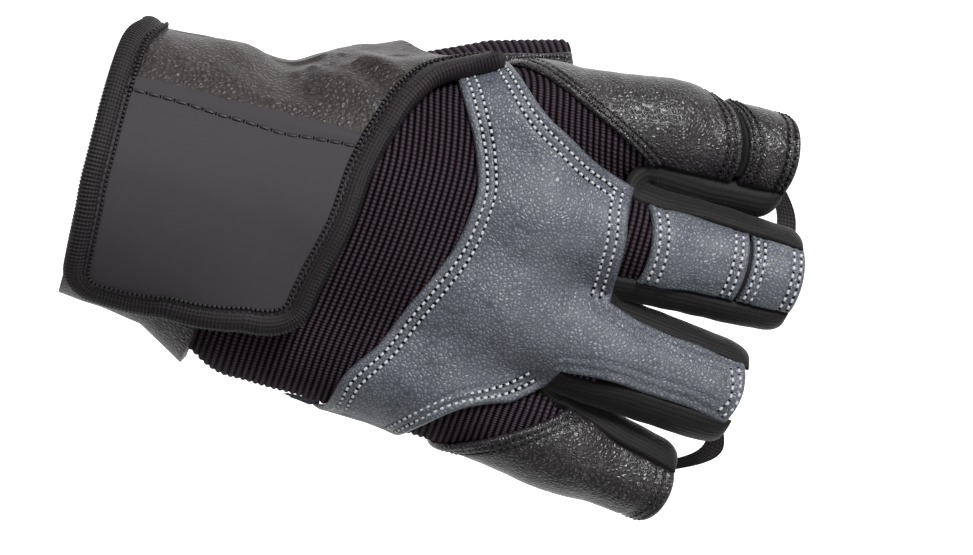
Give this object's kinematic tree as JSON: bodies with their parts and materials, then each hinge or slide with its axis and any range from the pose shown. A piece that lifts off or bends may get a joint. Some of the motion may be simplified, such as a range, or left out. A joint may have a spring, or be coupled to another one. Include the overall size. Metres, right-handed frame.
{
  "type": "weightlifting glove",
  "caption": "Right-hand weightlifting glove with open finger ends, a ribbed stretch back, grey and black leather panels, a leather palm, tape pull loops and a padded wrist wrap, as worn.",
  "frame": {"origin": "centre of the wrist opening, in the plane of its edge", "axes": "+X from the wrist to the fingertips, +Y towards the thumb side, +Z out of the back of the hand"},
  "size_m": [0.1804, 0.1134, 0.0712],
  "materials": {
    "rib": "matte",
    "grey_leather": "satin",
    "black_leather": "satin",
    "gusset": "matte",
    "strap_leather": "satin",
    "patch": "matte",
    "tape": "matte"
  },
  "bodies": {
    "root": {"back_fabric": "rib", "back_panel": "grey_leather", "index_panel": "black_leather", "index_band": "black_leather", "index_flex": "gusset", "middle_panel": "grey_leather", "middle_band": "grey_leather", "middle_flex": "gusset", "pinky_panel": "black_leather", "index_front": "black_leather", "middle_front": "black_leather", "ring_front": "black_leather", "pinky_front": "black_leather", "palm": "black_leather", "index_middle_gusset": "gusset", "middle_ring_gusset": "gusset", "ring_pinky_gusset": "gusset", "thumb_back": "rib", "thumb_front": "black_leather", "wrist_strap": "strap_leather", "strap_binding": "tape", "strap_patch": "patch", "index_middle_loop": "tape", "ring_pinky_loop": "tape"}
  },
  "joints": []
}
